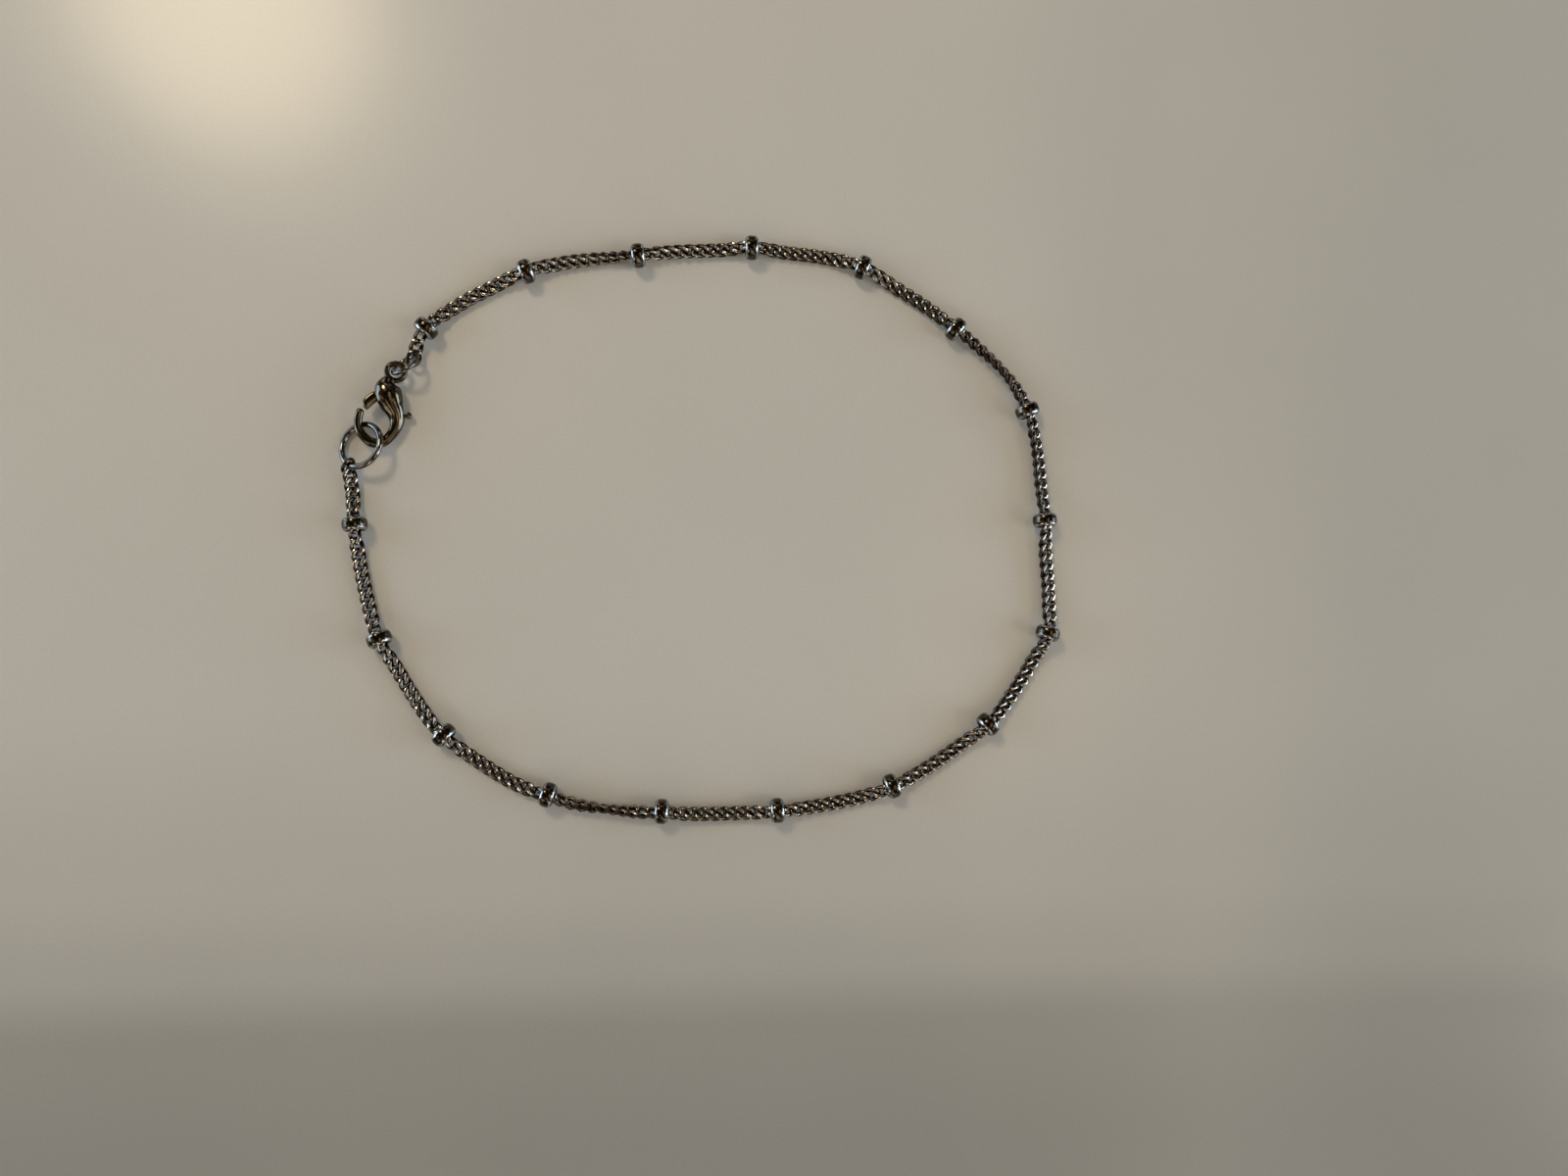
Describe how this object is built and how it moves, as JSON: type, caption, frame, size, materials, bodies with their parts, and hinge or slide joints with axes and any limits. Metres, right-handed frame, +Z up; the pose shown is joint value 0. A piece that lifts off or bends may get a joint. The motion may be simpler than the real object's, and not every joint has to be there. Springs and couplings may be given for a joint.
{
  "type": "bracelet",
  "caption": "Beaded chain bracelet lying as a closed loop: a fine curb chain through dark barrel beads, joined by a lobster clasp with a sprung lever and jump rings.",
  "frame": {"origin": "on the surface that the loop lies on, at the middle of the loop's box", "axes": "+Z up off the surface and through the loop, the shortest extent; +X along the loop's longest extent; the clasp lies at -X"},
  "size_m": [0.0822, 0.0676, 0.003],
  "materials": {
    "bead_metal": "polished, dark gunmetal plating",
    "chain_metal": "polished, dark gunmetal plating, brighter on the flats",
    "clasp_metal": "polished cast metal, dark olive-brown gunmetal plating",
    "ring_metal": "polished wire, dark grey plating",
    "pin_metal": "satin, darkened"
  },
  "bodies": {
    "bracelet": {"bead_01": "bead_metal", "bead_02": "bead_metal", "bead_03": "bead_metal", "bead_04": "bead_metal", "bead_05": "bead_metal", "bead_06": "bead_metal", "bead_07": "bead_metal", "bead_08": "bead_metal", "bead_09": "bead_metal", "bead_10": "bead_metal", "bead_11": "bead_metal", "bead_12": "bead_metal", "bead_13": "bead_metal", "bead_14": "bead_metal", "bead_15": "bead_metal", "bead_16": "bead_metal", "bead_17": "bead_metal", "chain": "chain_metal", "chain_end_link_first": "chain_metal", "chain_end_link_last": "chain_metal", "clasp_body": "clasp_metal", "clasp_ring": "ring_metal", "end_ring": "ring_metal", "lever_pin": "pin_metal"},
    "lever": {"clasp_lever": "clasp_metal"}
  },
  "joints": [
    {"name": "clasp_lever_hinge", "type": "hinge", "parent": "bracelet", "child": "lever", "pos_m": [-0.03519, 0.01389, 0.0012], "axis": [0.1767, -0.0797, 0.981], "range_deg": [0, 25], "stiffness_Nm_per_rad": 0.004}
  ]
}
